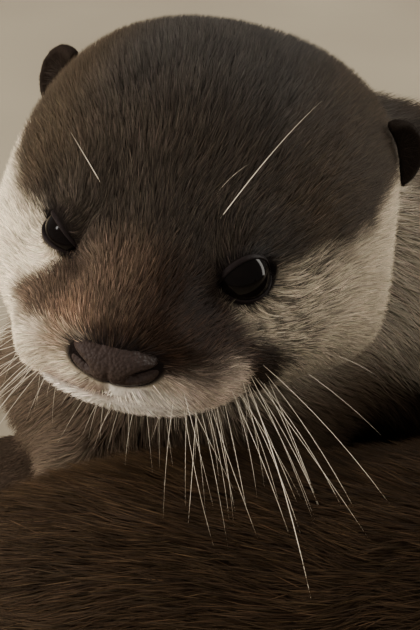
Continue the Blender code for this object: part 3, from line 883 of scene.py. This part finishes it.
def has_hair(roots):
    """No hair in the mouth, on the nose pad, inside the lids or against the floor."""
    head = to_head(roots["place"])
    x, y, z = head.T
    pad = PAD_RADII + 0.15 - 0.7 * rise(z, -5, -2)[:, None]
    on_nose = in_ellipsoid(head, PAD_AT, pad) < 1
    in_eye = beyond_lids(head) < 0.5
    over_mouth = z - mouth_height(x)
    in_mouth = (np.abs(over_mouth) < 0.6) & (x > 46) & (np.abs(y) < 30)
    in_mouth |= (over_mouth > 0) & (over_mouth < 3.0) & (x > 53) & (y < -0.5) & (y > -12)
    on_face = np.isin(roots["node"], FACE)
    on_floor = (roots["place"][:, 2] < 1.6 * MM) & (roots["normal"][:, 2] < -0.6)
    return ~(on_face & (on_nose | in_eye | in_mouth)) & ~on_floor


def to_height(points, height, tree, surface):
    """Brings each point to its height over the nearest skin."""
    nearest = nearest_in(tree, points)
    normals = surface.normals[nearest]
    over = ((points - surface.points[nearest]) * normals).sum(axis=1)
    return points + normals * (height - over)[:, None]


def gather_locks(tips, every, pull):
    """Draws neighbouring tips together into locks."""
    leaders = tips[RANDOM.choice(len(tips), len(tips) // every, replace=False)]
    return tips + (leaders[nearest_in(point_tree(leaders), tips)] - tips) * pull


def dark_share(places):
    """The share of dark tufts among the pale ones."""
    head = to_head(places)
    x, y, _ = head.T
    _, away, up = about_eye(head, 1).T
    far = np.hypot(away, up)
    around = np.stack([np.arctan2(up, away) * 17, far / 7, 0 * far], axis=1)
    streak = rise(wobble(around, 1.0)[:, 2], -0.4, 0.4) * rise(y, 5, 20) * rise(far, 27, 12)
    return DARK_HAIRS * rise(x, 48, 40) * (0.03 + 0.97 * streak)


def lay_tufts(roots, surface, tree, lively, quick):
    """Where each tuft starts and ends, its width, and the way to its side."""
    place, normal = roots["place"], roots["normal"]
    count = len(place)
    depth, length, width, _ = roots["coat"].T * MM
    width = width * (QUICK_WIDTH if quick else 1.0) * RANDOM.uniform(0.75, 1.25, count)
    length = length * RANDOM.uniform(0.7, 1.2, count)
    sideways = np.cross(normal, roots["lie"])
    sway = wobble(place, 0.009)[:, 0] * 0.30 + wobble(place, 0.003)[:, 1] * 0.16
    sway = sway + RANDOM.normal(0, 0.13, count)
    lie = unit(roots["lie"] + sideways * sway[:, None])
    tips = gather_locks(place + lie * length[:, None], 7, 0.35)
    tip_height = depth * RANDOM.uniform(0.45, 1.05, count) * (1.6 - 0.6 * lively)
    tips = to_height(tips, tip_height, tree, surface)
    return place - normal * 0.25 * MM, tips, width, sideways


def tint_tufts(roots, sideways, lively):
    """The colour of each tuft, and how much lighter its tip is: a real light tip on some tufts, a
    little painted light on the tips of the rest.
    """
    place = roots["place"]
    count = len(place)
    stray = roots["lie"] * np.abs(RANDOM.normal(0, 1.3 * MM, (count, 1)))
    stray += sideways * RANDOM.normal(0, 0.5 * MM, (count, 1))
    colour = markings(place + stray, roots["node"])
    locks = 1 + 0.22 * wobble(place, 0.0013)[:, :1] + 0.18 * wobble(place, 0.0045)[:, 1:2]
    strands = RANDOM.normal(0, STRAND_SPREAD, (count, 1)) * lively[:, None]
    colour = colour * locks * np.exp(strands)
    colour = colour * (1 + RANDOM.normal(0, 0.03, (count, 3)))
    brightness = colour.mean(axis=1)
    tipped = (RANDOM.random(count) < LIGHT_TIPPED * lively) & (brightness < 0.2)
    dark = (RANDOM.random(count) < dark_share(place)) & (brightness > 0.12)
    colour[dark] *= 0.22
    # Tufts with no light tip of their own get a little painted light on their tips.
    return colour, np.where(tipped, 1 + 1.5 * lively, 1.15)


def tufts(name, surface, triangles, tree, quick):
    """One piece of the coat: tufts of three long faces that lie along the skin."""
    uv = unwrap(surface.points, triangles)
    roots = scatter(surface, triangles, uv, QUICK_SPACING if quick else 1.0)
    normal = roots["normal"]
    count = len(normal)
    lively = 0.6 + 0.4 * rise(to_head(roots["place"])[:, 0], 0, 26)  # plainer away from the face
    start, tips, width, sideways = lay_tufts(roots, surface, tree, lively, quick)
    way = unit(tips - start)
    side = unit(np.cross(normal, way))
    out = np.cross(way, side)
    colour, tip_tone_and_light = tint_tufts(roots, sideways, lively)
    tilt = side * RANDOM.normal(0, 0.30, (count, 1)) + way * RANDOM.normal(0, 0.16, (count, 1))
    half = side * (width * 0.38)[:, None]
    ridge = out * (width * 0.24)[:, None]
    low = start - ridge * 0.5
    points = np.stack([low - half, low + half, start + ridge, tips], axis=1)
    points = np.maximum(points, (-np.inf, -np.inf, LOWEST_TUFT))
    root, edge = normal * 0.8, side * 0.7
    normals = [root - edge, root + edge, normal + out * 0.3, normal + way * 0.25]
    # Painted shade at the roots and painted light at the tips, for the light and shade within the
    # coat.
    painted_shades = np.full((count, 4), ROOT_PAINTED_SHADE) * (0.85, 0.85, 1.0, 1.0)
    painted_shades[:, 3] = tip_tone_and_light
    index = (np.arange(count) * 4)[:, None, None] + TUFT_FACES
    mesh = triangle_mesh(name, points.reshape(-1, 3), index.reshape(-1, 3))
    paint(mesh, (colour[:, None, :] * painted_shades[:, :, None]).reshape(-1, 3))
    patch = roots["uv"][:, None] + TUFT_PATCH_POINTS * TUFT_PATCH
    layer = mesh.uv_layers.new(name="OFBake")
    layer.uv.foreach_set("vector", patch.reshape(-1, 2)[index.ravel()].astype(np.float32).ravel())
    shading = unit(np.stack(normals, axis=1) + tilt[:, None]).reshape(-1, 3)
    mesh.normals_split_custom_set_from_vertices(shading.astype(np.float32))
    add_piece(name, mesh, COAT_MATERIAL, SLOT_OF.get(name, "fur"))


def coat_regions(skin):
    """The triangles of each piece of the coat, by name."""
    x, y, _ = skin.head[skin.triangles].mean(axis=1).T
    names = np.array(FLESH)[skin.node[skin.triangles[:, 0]]]
    on_head = names == "head"
    parts = [  # those with _ at the end are halved
        ("muzzle", on_head & (x > 36)),
        ("face_", on_head & (x <= 36) & (x > -2)),
        ("nape_", on_head & (x <= -2)),
        ("chin", names == "lower_jaw"),
        ("tail", np.char.startswith(names, "tail")),
        ("legs", np.isin(names, list(LIMBS))),
        ("feet", np.isin(names, list(LIMBS.values()))),
        *((name + "_", names == name) for name in ("neck", "hips")),
        *((name, names == name) for name in ("shoulders", "chest", "ribs", "loin")),
    ]
    regions = {}
    for name, chosen in parts:
        halves = (("left", y >= 0), ("right", y < 0)) if name[-1] == "_" else (("", True),)
        for half, here in halves:
            regions["coat_" + name + half] = skin.triangles[chosen & here]
    return regions


# ---- eyes and lids


def eye_axes(side):
    """The eye's axes as columns, in the head's frame: out, away from the nose, up."""
    out = unit(EYE_AXIS * (1, side, 1))
    up = unit(np.array((0, 0, 1.0)) - out * out[2])
    away = np.cross(up, out) * side
    turn = away * math.cos(EYE_SLANT) + up * math.sin(EYE_SLANT)
    return np.stack([out, turn, up * math.cos(EYE_SLANT) - away * math.sin(EYE_SLANT)], axis=1)


def opening(angles, tall):
    """The radius of the opening between the lids, by the angle from the corner by the nose."""
    tall = np.where(np.sin(angles) > 0, *tall)
    ellipse = EYE_WIDE * tall / np.hypot(tall * np.cos(angles), EYE_WIDE * np.sin(angles))
    inner = bell(np.angle(np.exp(1j * angles)), 0.28)
    outer = bell(np.angle(np.exp(1j * (angles - math.pi))), 0.22)
    return ellipse + 0.45 * inner + 0.15 * outer


def eye_middle(side):
    return np.array((EYE_X, EYE_Y * side, EYE_Z))


def about_eye(head_points, side):
    """Places in an eye's own axes, from its middle."""
    return (head_points - eye_middle(side)) @ eye_axes(side)


def beyond_lids(head_points):
    """How far each place lies beyond the nearer eye's opening, in mm."""
    gaps = []
    for side in (1, -1):
        out, away, up = about_eye(head_points, side).T
        gap = np.hypot(away, up) - opening(np.arctan2(up, -away), EYE_TALL[side])
        gaps.append(np.where((out > 0) & (out < 12), gap, 99.0))
    return np.minimum(*gaps)


def ball_height(radius):
    """How far out the eyeball's surface lies, at this distance from its own axis."""
    return EYE_FLATTEN * np.sqrt(np.maximum(EYE_RADIUS**2 - radius**2, 0.0))


# The lids' rim from the eyeball out until it dips under the skin: distance from the opening, and
# height over the eyeball.
RIM = (
    (-0.40, -0.7), (-0.12, 0.1), (0.08, 0.36), (0.35, 0.5), (0.7, 0.48), (1.0, 0.2), (1.3, -0.5)
)


def from_eye(name, side, places):
    """World places, from places in mm in an eye's own axes."""
    return np.array(middle_of("eye_" + name)) + places * MM @ (HEAD_AXES @ eye_axes(side)).T


def make_lids(name, side):
    """A thin dark rim round the opening between the lids."""
    angles = round_angles(96)
    spread, height = np.array(RIM).T[..., None]
    ring = opening(angles, EYE_TALL[side]) + spread
    local = [ball_height(ring) + height, -ring * np.cos(angles), ring * np.sin(angles)]
    return grid_mesh("lid", from_eye(name, side, np.stack(local, axis=-1)))


def make_eyeball(name, side):
    """The whole ball, a little flattened towards the front."""
    ways = [sphere_ways(polar, 64) for polar in np.linspace(0.02, math.pi - 0.02, 40)]
    ball = np.array(ways) * (EYE_FLATTEN, 1, 1) * EYE_RADIUS
    return grid_mesh("eyeball", from_eye(name, side, ball))


# ---- nose


# Dents on each side of the pad: depth, reach, side, height, slope of the height, and two radii.
PAD_DENTS = (
    (2.4, 0.85, 5.8, -5.1, 0.3, 2.2, 1.15),
    (1.2, 0.9, 7.6, -4.2, 0.5, 1.7, 0.55),
    (-0.4, 1.0, 5.8, -2.6, 0.0, 3.2, 1.1),
)


def make_nose():
    """The bare nose pad with two comma-shaped nostrils and the groove between them."""
    ways = np.array([sphere_ways(polar, 150) for polar in np.linspace(0.015, 2.0, 80)])
    places = PAD_AT + ways * PAD_RADII
    y, z = places[..., 1] - PAD_AT[1], places[..., 2]
    dent = 0.45 * bell(y, 0.6) * rise(z, -2, -7)
    for depth, reach, side, height, slope, wide, tall in PAD_DENTS:
        out = np.abs(y) - side
        dent += depth * bell(np.hypot(out / wide, (z - height - out * slope) / tall), reach)
    return grid_mesh("nose_pad", from_head(places - ways * dent[..., None]))


# ---- whiskers and claws

WHISKERS = 30  # on each pad
CHIN_HAIRS = 40
# Whiskers that stand alone, over the eyes and on the cheeks: root, way, length and fall.
SINGLE_WHISKERS = (
    ((33.2, 11.0, 14.3), (-0.47, 0.39, 0.79), 38, 0.25),
    ((30.5, 8.5, 16.0), (-0.66, 0.25, 0.70), 12, 0.1),
    ((31.1, -13.1, 15.6), (-0.27, -0.68, 0.68), 15.5, 0.2),
    ((21.0, 38.9, -18.0), (-0.05, 0.99, -0.15), 14, 0.1),
    ((28.0, 36.0, -22.0), (0.10, 0.93, -0.35), 22, 0.1),
    ((16.0, -42.0, -17.0), (-0.20, -0.95, 0.10), 12, 0.1),
    ((20.0, -40.0, -20.0), (-0.10, -0.95, -0.30), 16, 0.1),
    ((45.0, 24.0, -12.0), (0.80, 0.54, -0.26), 62, 0.30),
)


def bristle(root, way, droop, length, thickness, steps=12, sides=5):
    """A tapered hair from its root, bending down towards its tip."""
    along = np.linspace(0, 1, steps)[:, None]
    centre = root + way * length * along + droop * length * along**2.2
    tangent = unit(np.gradient(centre, axis=0))
    across = unit(np.cross(tangent, (0.3, 0.2, 0.93)))
    over = np.cross(tangent, across)
    angles = round_angles(sides)
    taper = (1 - along**1.4) * 0.94 + 0.06
    rings = across[:, None] * np.cos(angles)[:, None] + over[:, None] * np.sin(angles)[:, None]
    return centre[:, None] + rings * (thickness / 2 * taper)[:, None]


def capped(rows):
    """A tube mesh over rings, closed at its two ends."""
    mesh = grid_mesh("bristle", rows)
    work = bmesh_of([mesh])
    rim = [edge for edge in work.edges if edge.is_boundary]
    bmesh.ops.holes_fill(work, edges=rim, sides=0)
    return write_mesh(work, mesh)


def make_whiskers(skin_bvh):
    """Stiff pale whiskers on the pads, over the eyes, on the cheeks and on the chin."""
    meshes = []

    def plant(at, way, length, thickness, fall, spread=0.05):
        hit, normal, _, _ = skin_bvh.find_nearest(Vector(from_head(at)))
        root = np.array(hit - normal * 0.6 * MM)
        direction = unit(HEAD_AXES @ np.array(way) + RANDOM.normal(0, spread, 3))
        droop = np.array((0, 0, -fall)) + RANDOM.normal(0, 0.06, 3)
        meshes.append(capped(bristle(root, direction, droop, length * MM, thickness * MM)))

    for side in (1, -1):
        outward = np.array((-0.10, 0.98 * side, 0.10))
        downward = np.array((0.80, 0.12 * side, -0.59))
        for index in range(WHISKERS):
            back = (index + RANDOM.random()) / WHISKERS
            row = (0.618 * index + RANDOM.uniform(0, 0.2)) % 1.0
            at = (57 - 17 * back - 2 * row, side * (11 + 14 * back + 3 * row), -8 - 8 * row)
            turn = (14 if side > 0 else 22) + 42 * back - 6 * row + RANDOM.normal(0, 8)
            turn = math.radians(turn)
            way = outward * math.sin(turn) + downward * math.cos(turn)
            length = (19 + 20 * back) * math.exp(RANDOM.normal(0, 0.33))
            plant(at, way, min(length, 56), 0.09 + 0.05 * back, 0.26)
    for at, way, length, fall in SINGLE_WHISKERS:
        plant(at, way, length, 0.20, fall, 0.0)
    for _ in range(CHIN_HAIRS):
        across = RANDOM.uniform(-24, 24)
        at = (57 - 0.02 * across**2 - RANDOM.uniform(0, 10), across, -15 - RANDOM.uniform(0, 8))
        plant(at, (0.4, across / 40, -0.9), RANDOM.uniform(4, 11), 0.08, 0.3, 0.15)
    return join_meshes("whiskers", meshes)


TOES = 5


def make_claws(skin):
    """A tiny blunt claw on the end of each toe."""
    meshes = []
    for leg, foot in LIMBS.items():
        points = skin.points[skin.node == FLESH.index(foot)]
        axis = foot_axis(points, leg)
        spread = points - points.mean(axis=0)
        reach, wide = spread @ axis, spread @ np.cross((0, 0, 1.0), axis)
        front = reach > reach.max() * 0.35
        bands = np.linspace(wide[front].min(), wide[front].max(), TOES + 1)
        for low, high in zip(bands, bands[1:]):
            inside = front & (wide >= low) & (wide <= high)
            if not inside.any():
                continue
            tip = points[inside][reach[inside].argmax()] * (1, 1, 0)
            root = tip - axis * 1.6 * MM + np.array((0, 0, 4.6 * MM))
            rows = bristle(root, axis, np.array((0, 0, -0.35)), 3.4 * MM, 1.5 * MM, 7, 8)
            meshes.append(capped(rows))
    return join_meshes("claws", meshes)


# ---- camera, light and floor

CAMERA_AT = from_head((200.0, 37.0, 106.0))
CAMERA_PITCH = math.radians(-35.0)  # it looks along +Y and down
LENS = 57.2


def make_camera():
    data = bpy.data.cameras.new("camera")
    data.lens = LENS
    data.sensor_width = 36.0
    data.clip_start = 0.01
    camera = add_object("camera", data)
    camera.location = CAMERA_AT
    camera.rotation_euler = (math.radians(90) + CAMERA_PITCH, 0, 0)
    bpy.context.scene.camera = camera


def soft_light(name, place, size, power, colour, length=0.0):
    """A round light that faces the head or, given a length, a strip."""
    data = bpy.data.lights.new(name, "AREA")
    data.shape = "RECTANGLE" if length else "DISK"
    data.size = size
    data.size_y = length
    data.energy = power
    data.color = colour
    lamp = add_object(name, data)
    lamp.visible_glossy = size < 0.3  # the eyes mirror only the small ones
    back = (Vector(place) - HEAD_AT).normalized()
    along = (Vector(CAMERA_AT) - HEAD_AT).cross(back).normalized()
    turn = Matrix((along.cross(back), along, back)).transposed().to_4x4()
    lamp.matrix_world = Matrix.Translation(place) @ turn


def make_stage():
    bpy.ops.mesh.primitive_plane_add(size=6.0, location=(0, 0, 0))
    floor = bpy.context.active_object
    floor.name = "floor"
    # The floor's strong, large mottling is painted shade on the cloth, darker in broad patches.
    floor.data.materials.append(plain_material("pale_floor", (0.30, 0.255, 0.185), 0.9, 2.6, 0.6))
    world = bpy.data.worlds.new("studio")
    bpy.context.scene.world = world
    world.use_nodes = True
    background = world.node_tree.nodes["Background"]
    background.inputs["Color"].default_value = (1.0, 0.94, 0.84, 1)
    background.inputs["Strength"].default_value = 0.24
    soft_light("key", (-0.80, 0.02, 0.55), 1.1, 19.0, (1.0, 0.95, 0.86))
    soft_light("side", (0.73, 0.32, 0.47), 0.20, 6.2, (1.0, 0.95, 0.86), 1.1)
    soft_light("low", (-0.70, -0.42, 0.12), 1.1, 7.0, (1.0, 0.95, 0.88))
    soft_light("fill", (0.22, -0.60, 0.50), 0.7, 1.7, (1.0, 0.94, 0.86))
    soft_light("glint", (-0.70, -0.10, 0.50), 0.12, 0.7, (1.0, 0.97, 0.90))
    soft_light("back", (0.1, 0.8, 0.8), 0.8, 2.5, (1.0, 0.98, 0.95))


# ---- putting it together

COAT_MATERIAL = painted_material("coat", 0.6, 0.12, 700.0, 0.22)
SKIN_MATERIAL = painted_material("shaded_underfur", 0.9, 0.1, 1400.0, 0.3, (2600.0, 0.0004))
EYE_MATERIAL = plain_material("wet_eye", (0.003, 0.002, 0.0018), 0.05, 900.0, 0.5, 0, 0.13)
NOSE_MATERIAL = plain_material(
    "nose_skin", (0.024, 0.015, 0.0125), 0.5, 1500.0, 0.35, -0.00035, 0.3, cells=True
)
LID_MATERIAL = plain_material("lid_skin", (0.009, 0.006, 0.006), 0.5, 1500.0, 0.3, 0.0001, 0.12)
WHISKER_MATERIAL = plain_material("whisker", (0.66, 0.58, 0.46), 0.45, 300.0, 0.1)
CLAW_MATERIAL = plain_material("claw", (0.16, 0.12, 0.09), 0.4, 1200.0, 0.2)


def finish_skin(obj, colours, slot, *nodes):
    """Painted darker than the coat over it, as painted shade, so that the gaps between tufts look
    deep.
    """
    paint(obj.data, colours)
    obj.data.shade_smooth()
    obj.data.materials.append(SKIN_MATERIAL)
    finish_piece(obj, slot, *nodes)


def main():
    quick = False
    skin = make_skin()
    skin.lie = lie_of_coat(skin)
    tree = point_tree(skin.points)
    for name, triangles in coat_regions(skin).items():
        tufts(name, skin, triangles, tree, quick)
    ears = make_ears()
    surface = ear_surface(ears)
    tufts("coat_ears", surface, surface.triangles, point_tree(surface.points), quick)

    sides = (("left", 1), ("right", -1))
    lids = join_meshes("lids", [make_lids(name, side) for name, side in sides])
    add_piece("lids", lids, LID_MATERIAL, "nose")
    for name, side in sides:
        ball = make_eyeball(name, side)
        add_piece("eyeball_" + name, ball, EYE_MATERIAL, "eye", "eye_" + name)
    add_piece("nose_pad", join_meshes("nose_pad", [make_nose()]), NOSE_MATERIAL, "nose", "nose")
    skin_bvh = BVHTree.FromPolygons(skin.points.tolist(), skin.triangles.tolist())
    add_piece("whiskers", make_whiskers(skin_bvh), WHISKER_MATERIAL, "pale_fur")
    add_piece("claws", make_claws(skin), CLAW_MATERIAL, "foot")

    # The skin takes half the coat's colour: painted shade deep among the tufts.
    finish_skin(skin.obj, markings(skin.points, skin.node) * 0.5, "fur", *FLESH)
    # The ears' skin is painted darker than their coat too, as shade under it.
    for obj, node in zip(ears, EARS):
        finish_skin(obj, np.tile(EAR_BROWN * 0.6, (len(obj.data.vertices), 1)), "ear", node)


make_camera()
make_stage()
main()
